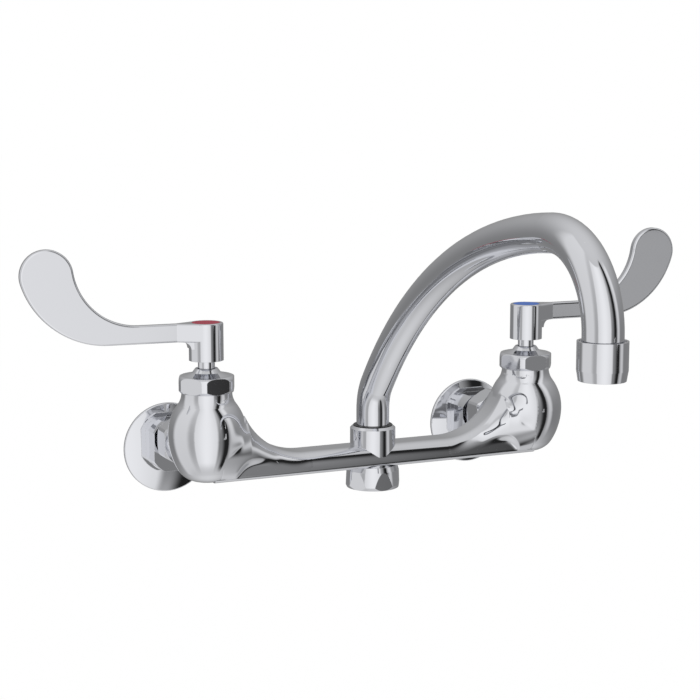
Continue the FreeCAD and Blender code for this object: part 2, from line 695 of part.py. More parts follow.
def arm_and_blade():
    grip = blade_plate().fuse(arm_root(ARM_BOTTOM_Z, HUB_TOP_Z)).removeSplitter()
    return grip.makeFillet(BLADE_ROUND, [edge for edge in grip.Edges if is_rim(edge)])


def handle():
    """Wrist-blade handle that points along +x when closed."""
    hub = upright(HUB_RADIUS, HUB_BOTTOM_Z, HUB_TOP_Z)
    top_rim = [edge for edge in hub.Edges if edge.BoundBox.ZMin > HUB_TOP_Z - HUB_ROUND]
    hub = hub.makeFillet(HUB_ROUND, top_rim)
    grip = hub.fuse([arm_and_blade(), underarm()])
    socket = upright(STEM_RADIUS + SEAT_GAP, HUB_BOTTOM_Z, STEM_TOP_Z)
    flats = centred_box(HUB_RADIUS * 2, STEM_FLATS + SEAT_GAP * 2, HUB_BOTTOM_Z, STEM_TOP_Z)
    grip = grip.cut(socket.common(flats))
    grip = grip.cut(upright(SCREW_RADIUS + CARTRIDGE_GAP, STEM_TOP_Z, SCREW_SEAT_Z))
    grip = grip.cut(upright(plug_radius() + SEAT_GAP, SCREW_SEAT_Z, BUTTON_SEAT_Z))
    grip = grip.cut(upright(BUTTON_RADIUS + SEAT_GAP, BUTTON_SEAT_Z, HUB_TOP_Z))
    return grip.removeSplitter()


def plug_radius():
    return SCREW_HEAD_RADIUS + SCREW_HEAD_ROOM


def handle_screw():
    """Slotted screw down through the handle into the stem."""
    head_top = SCREW_SEAT_Z + SCREW_HEAD_HEIGHT
    head = upright(SCREW_HEAD_RADIUS, SCREW_SEAT_Z, head_top)
    shank = upright(SCREW_RADIUS, SCREW_SEAT_Z - SCREW_LENGTH, SCREW_SEAT_Z)
    slot = centred_box(SCREW_HEAD_RADIUS * 2, SCREW_SLOT_WIDTH, head_top - SCREW_SLOT_DEPTH, head_top)
    return head.fuse(shank).cut(slot)


def index_button():
    """Coloured button pressed into the top of the hub."""
    cap = upright(BUTTON_RADIUS, BUTTON_SEAT_Z, HUB_TOP_Z)
    plug = upright(plug_radius(), BUTTON_SEAT_Z - BUTTON_PLUG_HEIGHT, BUTTON_SEAT_Z)
    return cap.fuse(plug)


# Inlet union

def rounded_square(half, corner, near_wall, far_from_wall):
    """Four-flat block round the pipe, as wide across its corners as the given radius."""
    rod = inlet_rod(corner, near_wall, far_from_wall, BLOCK_RISE)
    low = V(-half, WALL_TO_VALVE - far_from_wall, BLOCK_RISE - half)
    box = Part.makeBox(half * 2, far_from_wall - near_wall, half * 2, low)
    return rod.common(box)


def flange_disc():
    """Wall disc with a shallow dome on its front and a rounded rim."""
    apex = FLANGE_RIM + FLANGE_DOME_RADIUS - math.sqrt(FLANGE_DOME_RADIUS ** 2 - FLANGE_RADIUS ** 2)
    rim = at(FLANGE_RADIUS, FLANGE_RIM)
    crown = at(0, apex)
    disc = turned([
        line(at(0, 0), at(FLANGE_RADIUS, 0)),
        line(at(FLANGE_RADIUS, 0), rim),
        arc_about(at(0, apex - FLANGE_DOME_RADIUS), rim, crown),
        line(crown, at(0, 0)),
    ])
    at_rim = [edge for edge in disc.Edges if abs(edge.BoundBox.ZMax - FLANGE_RIM) < SEAT_GAP]
    disc = disc.makeFillet(FLANGE_ROUND, at_rim)
    disc.rotate(V(0, 0, 0), ACROSS, 90)
    return disc.translated(V(0, WALL_TO_VALVE, 0))


def supply_flange():
    """Eccentric wall flange: female pipe thread at the wall, male union thread above it."""
    pad_half = BLOCK_HALF + PAD_MARGIN
    pad = rounded_square(pad_half, pad_half + PAD_CORNER, FLANGE_RIM, PAD_FACE)
    block = rounded_square(BLOCK_HALF, BLOCK_HALF + BLOCK_CORNER, PAD_FACE, BLOCK_FACE)
    spigot = inlet_rod(SPIGOT_RADIUS, BLOCK_FACE, SPIGOT_FACE, INLET_RISE)
    flange = flange_disc().fuse([pad, block, spigot])
    pipe_hole = inlet_rod(PIPE_THREAD_RADIUS, 0, PIPE_THREAD_DEPTH, 0)
    overlap = PIPE_THREAD_DEPTH - UNION_WASHER_THICKNESS
    passage = inlet_rod(SPIGOT_BORE, overlap, SPIGOT_FACE, INLET_RISE)
    return flange.cut(pipe_hole).cut(passage).removeSplitter()


def union_washer():
    outer = inlet_rod(SPIGOT_RADIUS, SPIGOT_FACE, WASHER_FACE, INLET_RISE)
    return outer.cut(inlet_rod(SPIGOT_BORE, SPIGOT_FACE, WASHER_FACE, INLET_RISE))


def inlet_tail():
    """Tailpiece: collar held by the union nut, tube, and thread into the body."""
    thread_end = INLET_NECK_FACE + TAIL_THREAD_LENGTH
    tail = inlet_rod(SPIGOT_RADIUS, WASHER_FACE, TAIL_COLLAR_FACE, INLET_RISE)
    tail = tail.fuse([
        inlet_rod(TAIL_RADIUS, TAIL_COLLAR_FACE, INLET_NECK_FACE, INLET_RISE),
        inlet_rod(TAIL_THREAD_RADIUS, INLET_NECK_FACE, thread_end, INLET_RISE),
    ])
    return tail.cut(inlet_rod(INLET_BORE, WASHER_FACE, thread_end, INLET_RISE))


def union_nut():
    """Hexagonal union nut with side flats and chamfered ends."""
    half_flats = SPIGOT_RADIUS + THREAD_GAP + UNION_NUT_WALL
    corner = half_flats + UNION_NUT_CORNER
    rim = corner - UNION_NUT_CHAMFER
    outside = turned_polygon([
        at(0, 0),
        at(rim, 0),
        at(corner, UNION_NUT_CHAMFER),
        at(corner, UNION_NUT_LENGTH - UNION_NUT_CHAMFER),
        at(rim, UNION_NUT_LENGTH),
        at(0, UNION_NUT_LENGTH),
    ])
    nut = outside.common(hexagon(half_flats, 0, UNION_NUT_LENGTH, 0))
    nut = nut.cut(upright(TAIL_RADIUS + TAIL_HOLE_GAP, 0, UNION_NUT_BACK))
    nut = nut.cut(upright(SPIGOT_RADIUS + THREAD_GAP, UNION_NUT_BACK, UNION_NUT_LENGTH))
    nut.rotate(V(0, 0, 0), ACROSS, -90)
    return nut.translated(V(0, WALL_TO_VALVE - NUT_BACK_FACE, INLET_RISE))


# Spout

def long_arc_radius():
    """Radius of the long middle arc, so that the outlet lands at the spout's reach."""
    turned_by = SPOUT_ROOT_ANGLE + SPOUT_LONG_ANGLE
    root = SPOUT_ROOT_ARC * (1 - cosine(SPOUT_ROOT_ANGLE))
    tip = SPOUT_TIP_ARC * (1 + cosine(turned_by))
    return (SPOUT_REACH - root - tip) / (cosine(SPOUT_ROOT_ANGLE) - cosine(turned_by))


def spout_bends():
    """Radius and angle of each bend along the tube, from the collar to the outlet."""
    return [
        (SPOUT_ROOT_ARC, SPOUT_ROOT_ANGLE),
        (long_arc_radius(), SPOUT_LONG_ANGLE),
        (SPOUT_TIP_ARC, SPOUT_TIP_ANGLE),
    ]


def bent_rod(radius):
    """Solid rod of the given radius along the spout's line."""
    section = Part.Face(Part.Wire(Part.makeCircle(radius, V(0, 0, TUBE_FOOT_Z))))
    rise = V(0, 0, SPOUT_RISE_Z - TUBE_FOOT_Z)
    pieces = [section.extrude(rise)]
    section.translate(rise)
    place = V(0, 0, SPOUT_RISE_Z)
    heading = 0.0
    for arc_radius, angle in spout_bends():
        inward = V(0, -cosine(heading), -sine(heading))
        centre = place + inward * arc_radius
        pieces.append(section.revolve(centre, ACROSS, angle))
        section.rotate(centre, ACROSS, angle)
        heading = heading + angle
        place = centre - V(0, -cosine(heading), -sine(heading)) * arc_radius
    pieces.append(section.extrude(V(0, 0, -SPOUT_DROP)))
    return pieces[0].fuse(pieces[1:]).removeSplitter()


def spout_tube():
    return bent_rod(TUBE_RADIUS).cut(bent_rod(TUBE_BORE))


def tube_end_z():
    turned_by = SPOUT_ROOT_ANGLE + SPOUT_LONG_ANGLE
    root = SPOUT_ROOT_ARC * sine(SPOUT_ROOT_ANGLE)
    long_rise = long_arc_radius() * (sine(turned_by) - sine(SPOUT_ROOT_ANGLE))
    return SPOUT_RISE_Z + root + long_rise - SPOUT_TIP_ARC * sine(turned_by) - SPOUT_DROP


def swivel_ring_heights():
    low = SWIVEL_Z + SWIVEL_RING_INSET
    high = SWIVEL_Z + SWIVEL_HEIGHT - SWIVEL_RING_INSET
    return low, high


def swivel_ring_inner():
    return COLLAR_BORE - SEAT_GAP - RING_SECTION


def swivel_stem():
    """Hollow swivel brazed in the tube: spigot, sealed shoulder, tail and clip groove."""
    foot = LEDGE_Z - SWIVEL_TAIL_DROP
    top = TUBE_FOOT_Z + SWIVEL_SPIGOT_HEIGHT
    body = upright(COLLAR_BORE - RUN_GAP, SWIVEL_Z, TUBE_FOOT_Z)
    body = body.fuse([
        upright(TUBE_BORE - SEAT_GAP, TUBE_FOOT_Z, top),
        upright(SWIVEL_TAIL_RADIUS, foot, SWIVEL_Z),
    ])
    for z in swivel_ring_heights():
        groove = pipe_piece(COLLAR_BORE, swivel_ring_inner() - SEAT_GAP,
                            z - RING_GROOVE_WIDTH / 2, z + RING_GROOVE_WIDTH / 2)
        body = body.cut(groove)
    clip_groove = pipe_piece(CLIP_RADIUS, SWIVEL_TAIL_RADIUS - CLIP_GROOVE_DEPTH,
                             clip_foot_z() - SEAT_GAP, LEDGE_Z)
    return body.cut(clip_groove).cut(upright(SWIVEL_BORE, foot, top))


def clip_foot_z():
    return LEDGE_Z - RUN_GAP - CLIP_THICKNESS


def swivel_clip():
    """Open snap ring that holds the swivel under the ledge."""
    inner = SWIVEL_TAIL_RADIUS - CLIP_GROOVE_DEPTH + SEAT_GAP
    foot = clip_foot_z()
    ring = pipe_piece(CLIP_RADIUS, inner, foot, foot + CLIP_THICKNESS)
    mouth = Part.makeBox(CLIP_OPENING, CLIP_RADIUS, CLIP_THICKNESS,
                         V(-CLIP_OPENING / 2, 0, foot))
    return ring.cut(mouth)


def swivel_oring(z):
    return ring_seal(swivel_ring_inner(), swivel_ring_inner() + RING_SECTION, z)


def spout_bearing():
    return pipe_piece(COLLAR_BORE, TUBE_RADIUS + RUN_GAP, BEARING_Z, BEARING_TOP_Z)


# Outlet pieces, modelled about the spout axis and then moved out to the outlet

def tip_collar():
    """Threaded collar brazed on the end of the tube."""
    end = tube_end_z()
    return pipe_piece(TUBE_RADIUS + TIP_COLLAR_WALL, TUBE_RADIUS, end, end + TIP_COLLAR_HEIGHT)


def shell_bore():
    return TUBE_RADIUS + TIP_COLLAR_WALL + THREAD_GAP


def aerator_shell():
    """Round shell that screws on the tip collar and narrows to its lip."""
    end = tube_end_z()
    low = end - SHELL_BELOW_TIP
    high = end + SHELL_ABOVE_TIP
    outer = shell_bore() + SHELL_WALL
    lip_bore = shell_bore() - SHELL_LIP_WIDTH
    outside = turned_polygon([
        at(0, low),
        at(outer - SHELL_TAPER, low),
        at(outer, low + SHELL_TAPER_HEIGHT),
        at(outer, high),
        at(0, high),
    ])
    hollow = upright(shell_bore(), low + SHELL_LIP_HEIGHT, high)
    return outside.cut(hollow).cut(upright(lip_bore, low, high))


def aerator_screen():
    """Steel disc on the lip with rings of curved slots."""
    low = tube_end_z() - SHELL_BELOW_TIP + SHELL_LIP_HEIGHT
    high = low + SCREEN_THICKNESS
    screen = upright(shell_bore() - RUN_GAP, low, high)
    pitch = (shell_bore() - SHELL_LIP_WIDTH - SCREEN_SLOT_WIDTH) / (SCREEN_RINGS + 1)
    bar = centred_box(shell_bore() * 2, SCREEN_SLOT_WIDTH, low, high)
    cross = bar.fuse(bar.rotated(V(0, 0, 0), UP, 90))
    for ring in range(1, SCREEN_RINGS + 1):
        slot = pipe_piece(pitch * ring + SCREEN_SLOT_WIDTH, pitch * ring, low, high)
        screen = screen.cut(slot.cut(cross))
    return screen


def aerator_insert():
    """Plastic flow straightener: rim, hub and radial vanes."""
    low = tube_end_z() - SHELL_BELOW_TIP + SHELL_LIP_HEIGHT + SCREEN_THICKNESS
    high = tube_end_z() - AERATOR_WASHER_THICKNESS
    outer = shell_bore() - RUN_GAP
    inner = outer - AERATOR_RIM
    insert = pipe_piece(outer, inner, low, high).fuse(upright(AERATOR_HUB_RADIUS, low, high))
    for vane in range(AERATOR_VANES):
        blade = Part.makeBox(inner + AERATOR_RIM / 2, AERATOR_VANE_THICKNESS, high - low,
                             V(0, -AERATOR_VANE_THICKNESS / 2, low))
        insert = insert.fuse(blade.rotated(V(0, 0, 0), UP, 360.0 / AERATOR_VANES * vane))
    return insert.removeSplitter()


def aerator_washer():
    end = tube_end_z()
    outer = shell_bore() - RUN_GAP
    return pipe_piece(outer, TUBE_BORE, end - AERATOR_WASHER_THICKNESS, end)


# Export

def save(shape, name):
    shape.exportStep("parts/" + name + ".step")


def save_valve_side(name, fixed, turning, turn, place):
    """Save one valve: its fixed pieces, and the ones that turn with the handle."""
    for piece, shape in fixed.items():
        save(shape.translated(place), name + "_" + piece)
    for piece, shape in turning.items():
        save(shape.rotated(V(0, 0, 0), UP, turn).translated(place), name + "_" + piece)


def all_mirrored(pieces):
    return {piece: mirrored(shape) for piece, shape in pieces.items()}


def main():
    os.makedirs("parts", exist_ok=True)
    centre = V(0, -WALL_TO_VALVE, 0)
    outlet = V(0, -WALL_TO_VALVE - SPOUT_REACH, 0)

    save(faucet_body().translated(centre), "faucet_body")
    save(bottom_cap().translated(centre), "bottom_cap")
    save(bottom_cap_seal().translated(centre), "bottom_cap_seal")

    fixed = {
        "supply_flange": supply_flange(),
        "union_washer": union_washer(),
        "inlet_tail": inlet_tail(),
        "union_nut": union_nut(),
        "seat_seal": seat_seal(),
        "fixed_disc": fixed_disc(),
        "cartridge_sleeve": cartridge_sleeve(),
        "bonnet_nut": bonnet_nut(),
    }
    turning = {
        "turning_disc": turning_disc(),
        "stem": stem(),
        "stem_oring": stem_oring(),
        "handle": handle(),
        "handle_screw": handle_screw(),
        "index_button": index_button(),
    }
    save_valve_side("cold", fixed, turning, COLD_HANDLE_TURN, centre + V(VALVE_X, 0, 0))
    save_valve_side("hot", all_mirrored(fixed), all_mirrored(turning), HOT_HANDLE_TURN,
                    centre - V(VALVE_X, 0, 0))

    low_ring, high_ring = swivel_ring_heights()
    save(spout_tube().translated(centre), "spout_tube")
    save(swivel_stem().translated(centre), "swivel_stem")
    save(swivel_clip().translated(centre), "swivel_clip")
    save(swivel_oring(low_ring).translated(centre), "swivel_oring_lower")
    save(swivel_oring(high_ring).translated(centre), "swivel_oring_upper")
    save(spout_bearing().translated(centre), "spout_bearing")

    save(tip_collar().translated(outlet), "tip_collar")
    save(aerator_shell().translated(outlet), "aerator_shell")
    save(aerator_screen().translated(outlet), "aerator_screen")
    save(aerator_insert().translated(outlet), "aerator_insert")
    save(aerator_washer().translated(outlet), "aerator_washer")


main()
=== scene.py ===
# %% [markdown]
# # A wall-mounted faucet in polished chrome
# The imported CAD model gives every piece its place. This file dresses it: it sets the photograph's camera,
# gives each node the finish of its real material, fills the corners of the casting where the bar runs into
# the valves, and builds a small studio, because polished chrome has no look of its own and shows only what
# stands around it.

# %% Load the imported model
import json
import math

import bpy
import numpy as np
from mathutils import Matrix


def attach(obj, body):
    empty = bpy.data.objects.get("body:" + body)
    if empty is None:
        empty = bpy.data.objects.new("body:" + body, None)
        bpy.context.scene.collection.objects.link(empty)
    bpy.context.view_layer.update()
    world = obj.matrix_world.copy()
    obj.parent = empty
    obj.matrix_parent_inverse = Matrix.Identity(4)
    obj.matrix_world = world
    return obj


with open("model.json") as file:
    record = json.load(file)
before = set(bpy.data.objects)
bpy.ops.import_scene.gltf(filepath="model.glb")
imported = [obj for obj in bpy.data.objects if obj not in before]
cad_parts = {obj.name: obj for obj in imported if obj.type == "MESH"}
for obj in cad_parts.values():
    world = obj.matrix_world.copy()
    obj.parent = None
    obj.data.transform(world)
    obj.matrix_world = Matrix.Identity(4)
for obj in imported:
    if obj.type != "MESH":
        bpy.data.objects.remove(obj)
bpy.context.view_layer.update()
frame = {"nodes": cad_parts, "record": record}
nodes = frame["nodes"]
record = frame["record"]

# %% [markdown]
# ## The camera
# A camera can be matched by dragging it about until the picture fits. It can also be solved, because a
# round rim shows as an ellipse, and how flat the ellipse is tells the direction it is seen from. Here the
# rims of the flanges, the hubs and the outlet were solved together. The camera stands to the left of the
# spout and a little above it. A long lens keeps the two valves nearly the same size.

# %% The photograph's camera
CAMERA_PLACE = (-0.40579, -0.94043, 0.20885)
CAMERA_AZIMUTH = -24.28
CAMERA_ELEVATION = 8.71
LENS_MM = 86.27
SENSOR_MM = 36.0
CLIP_NEAR, CLIP_FAR = 0.05, 50.0

camera_data = bpy.data.cameras.new("photo_camera")
camera_data.lens = LENS_MM
camera_data.sensor_width = SENSOR_MM
camera_data.clip_start = CLIP_NEAR
camera_data.clip_end = CLIP_FAR
camera = bpy.data.objects.new("photo_camera", camera_data)
camera.location = CAMERA_PLACE
camera.rotation_euler = (math.radians(90.0 - CAMERA_ELEVATION), 0.0, math.radians(CAMERA_AZIMUTH))
bpy.context.scene.collection.objects.link(camera)
bpy.context.scene.camera = camera
print("camera", round(math.dist(CAMERA_PLACE, (0.0, 0.0, 0.0)), 3), "m from the middle of the wall plane")

# %% [markdown]
# ## Colours and nodes
# Hex colours are what the eye sees on a screen. The renderer works with linear light, so one function
# turns the first into the second. Real sizes are easier to judge in millimetres, so a pattern's scale is
# always worked out from one. A finish is a function that builds its nodes and returns the shader, and one
# more function makes a material of it, so that no finish repeats the steps that all share.

# %% Helpers for colours and nodes
MM = 0.001
SRGB_KNEE, SRGB_SLOPE = 0.04045, 12.92
SRGB_OFFSET, SRGB_POWER = 0.055, 2.4
PATTERN_LOW, PATTERN_HIGH = 0.3, 0.7


def linear(hex_colour):
    """Linear red, green, blue and alpha 1 of an sRGB hex colour: a straight line near black, then a power."""
    parts = np.array([int(hex_colour[i:i + 2], 16) / 255.0 for i in (1, 3, 5)])
    curve = ((parts + SRGB_OFFSET) / (1.0 + SRGB_OFFSET)) ** SRGB_POWER
    light = np.where(parts <= SRGB_KNEE, parts / SRGB_SLOPE, curve)
    return (*light.tolist(), 1.0)


def per_mm(size):
    """Texture scale that makes one cell of a pattern this many millimetres wide."""
    return 1.0 / (size * MM)


def middle_to(low, high):
    """Map Range settings that stretch a pattern's middle values from low to high."""
    return {"From Min": PATTERN_LOW, "From Max": PATTERN_HIGH, "To Min": low, "To Max": high}


def add_node(tree, kind, settings=None, links=None):
    """Adds a node of a kind, sets its sockets or properties by name and links its inputs."""
    node = tree.nodes.new(kind)
    for name, value in (settings or {}).items():
        if name in node.inputs:
            node.inputs[name].default_value = value
        else:
            setattr(node, name, value)
    for name, source in (links or {}).items():
        tree.links.new(source, node.inputs[name])
    return node


def make_material(name, finish, *details):
    """A material whose shader is what the finish builds in its empty node tree."""
    material = bpy.data.materials.new(name)
    material.use_nodes = True
    tree = material.node_tree
    tree.nodes.clear()
    shader = finish(tree, *details)
    add_node(tree, "ShaderNodeOutputMaterial", links={"Surface": shader.outputs[0]})
    return material


print("one millimetre is", MM, "m, and mid grey is", round(linear("#808080")[0], 3), "in linear light")

# %% [markdown]
# ## Chrome plate
# Chromium is plated on brass that was cast, ground and buffed. The plate is a mirror, a little darker and
# bluer than silver. One roughness all over would do for a new mirror, but a buffed casting has broad
# patches that are slightly hazier, and waves of a thousandth of a millimetre that make a reflection
# breathe, so noise gives both. The buffing wheel breaks machined edges, and a Bevel node bends the light
# over the last third of a millimetre without a change to the mesh.

# %% Polished chrome plate
CHROME_COLOUR = "#D8D9DD"
CHROME_ROUGHNESS = (0.025, 0.055)
EDGE_BREAK_MM = 0.3
EDGE_SAMPLES = 6
BUFFING_PATCH_MM = 22.0
BUFFING_WAVE_MM = 9.0
BUFFING_WAVE_DEPTH_MM = 0.0012


def polished_chrome_plate(tree):
    """A mirror whose haze follows a wide noise, with shallow noise waves and softened edges."""
    place = add_node(tree, "ShaderNodeTexCoord").outputs["Object"]
    patches = add_node(tree, "ShaderNodeTexNoise",
                       {"Scale": per_mm(BUFFING_PATCH_MM), "Detail": 3.0, "Roughness": 0.6},
                       {"Vector": place})
    haze = add_node(tree, "ShaderNodeMapRange", middle_to(*CHROME_ROUGHNESS), {"Value": patches.outputs[0]})
    waves = add_node(tree, "ShaderNodeTexNoise", {"Scale": per_mm(BUFFING_WAVE_MM), "Detail": 1.0},
                     {"Vector": place})
    edge = add_node(tree, "ShaderNodeBevel", {"samples": EDGE_SAMPLES, "Radius": EDGE_BREAK_MM * MM})
    bump = add_node(tree, "ShaderNodeBump", {"Distance": BUFFING_WAVE_DEPTH_MM * MM, "Strength": 1.0},
                    {"Height": waves.outputs[0], "Normal": edge.outputs[0]})
    return add_node(tree, "ShaderNodeBsdfPrincipled",
                    {"Base Color": linear(CHROME_COLOUR), "Metallic": 1.0},
                    {"Roughness": haze.outputs["Result"], "Normal": bump.outputs[0]})


chrome = make_material("polished_chrome_plate", polished_chrome_plate)
print("made", chrome.name)

# %% [markdown]
# ## Inner metals
# The cartridge sleeves and the swivel are turned from brass bar: the tool leaves fine rings round the
# axis. They could be cut in the mesh, but bands of a wave pattern cost nothing. Their real pitch is a tenth
# of a millimetre, which no picture of the faucet would show, so they are drawn thirty times as coarse. The
# screws, the screen and the snap ring are stainless steel, brushed or stamped, and greyer than the chrome:
# a noise stretched along one direction gives the brush's lines.

# %% Turned brass and brushed steel
BRASS_COLOURS = ("#C9A35A", "#B08A48")
BRASS_ROUGHNESS = (0.18, 0.3)
BRASS_STAIN_MM = 5.0
TURNING_PITCH_MM = 3.14
TURNING_DEPTH_MM = 0.02
WAVE_PERIOD = 2.0 * math.pi / 20.0
STEEL_COLOUR = "#B4B5B6"
STEEL_ROUGHNESS = (0.2, 0.34)
BRUSH_LENGTH_MM = 6.0
BRUSH_WIDTH_MM = 0.3
BRUSH_DEPTH_MM = 0.01


def turned_brass(tree):
    """Metal in two shades of a noise stain, with bands across the axis.

    At a scale of 1 Blender's wave repeats every WAVE_PERIOD of a metre."""
    place = add_node(tree, "ShaderNodeTexCoord").outputs["Object"]
    rings = add_node(tree, "ShaderNodeTexWave",
                     {"wave_type": "BANDS", "bands_direction": "Z", "Distortion": 0.4,
                      "Scale": WAVE_PERIOD * per_mm(TURNING_PITCH_MM)}, {"Vector": place})
    stain = add_node(tree, "ShaderNodeTexNoise", {"Scale": per_mm(BRASS_STAIN_MM), "Detail": 4.0},
                     {"Vector": place})
    bright, dull = BRASS_COLOURS
    colour = add_node(tree, "ShaderNodeMix", {"data_type": "RGBA", "A": linear(bright), "B": linear(dull)},
                      {"Factor": stain.outputs[0]})
    haze = add_node(tree, "ShaderNodeMapRange", middle_to(*BRASS_ROUGHNESS), {"Value": stain.outputs[0]})
    bump = add_node(tree, "ShaderNodeBump", {"Distance": TURNING_DEPTH_MM * MM, "Strength": 0.6},
                    {"Height": rings.outputs["Fac"]})
    return add_node(tree, "ShaderNodeBsdfPrincipled", {"Metallic": 1.0},
                    {"Base Color": colour.outputs["Result"], "Roughness": haze.outputs["Result"],
                     "Normal": bump.outputs[0]})


def brushed_stainless_steel(tree):
    """Metal whose haze and bump follow a noise that is long one way and narrow across."""
    place = add_node(tree, "ShaderNodeTexCoord").outputs["Object"]
    stretch = add_node(tree, "ShaderNodeMapping",
                       {"Scale": (per_mm(BRUSH_LENGTH_MM), per_mm(BRUSH_WIDTH_MM), per_mm(BRUSH_WIDTH_MM))},
                       {"Vector": place})
    brush = add_node(tree, "ShaderNodeTexNoise", {"Scale": 1.0, "Detail": 3.0},
                     {"Vector": stretch.outputs[0]})
    haze = add_node(tree, "ShaderNodeMapRange", middle_to(*STEEL_ROUGHNESS), {"Value": brush.outputs[0]})
    bump = add_node(tree, "ShaderNodeBump", {"Distance": BRUSH_DEPTH_MM * MM, "Strength": 0.5},
                    {"Height": brush.outputs[0]})
    return add_node(tree, "ShaderNodeBsdfPrincipled",
                    {"Base Color": linear(STEEL_COLOUR), "Metallic": 1.0},
                    {"Roughness": haze.outputs["Result"], "Normal": bump.outputs[0]})


brass = make_material("turned_brass", turned_brass)
steel = make_material("brushed_stainless_steel", brushed_stainless_steel)
print("made", brass.name, "and", steel.name)

# %% [markdown]
# ## Rubber, ceramic and plastics
# Sealing rings are moulded black nitrile rubber, dull with a slight skin. The valve discs are alumina,
# ground flat until two of them cling together: ivory, dense and half glossy. The bearing and the flow
# straightener are moulded plastics, whose grain is the fine erosion of the steel mould. Each is two near
# shades mixed by a small pattern, because one flat colour looks like no material at all.

# %% Nitrile rubber and alumina
RUBBER_COLOURS = ("#161617", "#242425")
RUBBER_ROUGHNESS = (0.5, 0.68)
RUBBER_IOR = 1.52
RUBBER_SKIN_MM = 0.6
RUBBER_SKIN_DEPTH_MM = 0.02
ALUMINA_COLOURS = ("#EFE8D8", "#E2DAC6")
ALUMINA_ROUGHNESS = (0.18, 0.3)
ALUMINA_IOR = 1.76
ALUMINA_GRAIN_MM = 0.35


def nitrile_rubber(tree):
    """Dull black whose skin is a fine noise in colour, haze and bump."""
    place = add_node(tree, "ShaderNodeTexCoord").outputs["Object"]
    skin = add_node(tree, "ShaderNodeTexNoise", {"Scale": per_mm(RUBBER_SKIN_MM), "Detail": 5.0},
                    {"Vector": place})
    dark, bloom = RUBBER_COLOURS
    colour = add_node(tree, "ShaderNodeMix", {"data_type": "RGBA", "A": linear(dark), "B": linear(bloom)},
                      {"Factor": skin.outputs[0]})
    haze = add_node(tree, "ShaderNodeMapRange", middle_to(*RUBBER_ROUGHNESS), {"Value": skin.outputs[0]})
    bump = add_node(tree, "ShaderNodeBump", {"Distance": RUBBER_SKIN_DEPTH_MM * MM, "Strength": 0.7},
                    {"Height": skin.outputs[0]})
    return add_node(tree, "ShaderNodeBsdfPrincipled", {"IOR": RUBBER_IOR},
                    {"Base Color": colour.outputs["Result"], "Roughness": haze.outputs["Result"],
                     "Normal": bump.outputs[0]})


def ground_alumina(tree):
    """Ivory whose grains are the cells of a fine cell pattern."""
    place = add_node(tree, "ShaderNodeTexCoord").outputs["Object"]
    grain = add_node(tree, "ShaderNodeTexVoronoi", {"Scale": per_mm(ALUMINA_GRAIN_MM)}, {"Vector": place})
    light, dark = ALUMINA_COLOURS
    colour = add_node(tree, "ShaderNodeMix", {"data_type": "RGBA", "A": linear(light), "B": linear(dark)},
                      {"Factor": grain.outputs["Distance"]})
    haze = add_node(tree, "ShaderNodeMapRange", middle_to(*ALUMINA_ROUGHNESS),
                    {"Value": grain.outputs["Distance"]})
    return add_node(tree, "ShaderNodeBsdfPrincipled", {"IOR": ALUMINA_IOR},
                    {"Base Color": colour.outputs["Result"], "Roughness": haze.outputs["Result"]})


rubber = make_material("moulded_nitrile_rubber", nitrile_rubber)
ceramic = make_material("ground_alumina", ground_alumina)
print("made", rubber.name, "and", ceramic.name)

# %% Moulded plastics
PLASTIC_ROUGHNESS = (0.32, 0.46)
PLASTIC_IOR = 1.48
MOULD_GRAIN_MM = 0.4
MOULD_GRAIN_DEPTH_MM = 0.012


def moulded_plastic(tree, colour, shade):
    """Two near shades of one colour, mixed and embossed by the eroded grain of the mould."""
    place = add_node(tree, "ShaderNodeTexCoord").outputs["Object"]
    grain = add_node(tree, "ShaderNodeTexNoise", {"Scale": per_mm(MOULD_GRAIN_MM), "Detail": 4.0},
                     {"Vector": place})
    tint = add_node(tree, "ShaderNodeMix", {"data_type": "RGBA", "A": linear(colour), "B": linear(shade)},
                    {"Factor": grain.outputs[0]})
    haze = add_node(tree, "ShaderNodeMapRange", middle_to(*PLASTIC_ROUGHNESS), {"Value": grain.outputs[0]})
    bump = add_node(tree, "ShaderNodeBump", {"Distance": MOULD_GRAIN_DEPTH_MM * MM, "Strength": 0.6},
                    {"Height": grain.outputs[0]})
    return add_node(tree, "ShaderNodeBsdfPrincipled", {"IOR": PLASTIC_IOR},
                    {"Base Color": tint.outputs["Result"], "Roughness": haze.outputs["Result"],
                     "Normal": bump.outputs[0]})


black_nylon = make_material("moulded_black_nylon", moulded_plastic, "#141415", "#1E1E1F")
white_acetal = make_material("moulded_white_acetal", moulded_plastic, "#E6E5E0", "#DAD9D3")
print("made", black_nylon.name, "and", white_acetal.name)

# %% [markdown]
# ## The index buttons
# A red and a blue button tell hot from cold. They are moulded in coloured acrylic. A glossy coat would be
# the usual choice, but these faces mirror almost nothing of the bright room, so the finish is satin with a
# low specular level. A faint ripple shows where the plastic flowed.

# %% Red and blue acrylic
ACRYLIC_IOR = 1.49
ACRYLIC_ROUGHNESS = 0.45
ACRYLIC_SPECULAR = 0.15
RIPPLE_MM = 3.0
RIPPLE_DEPTH_MM = 0.01


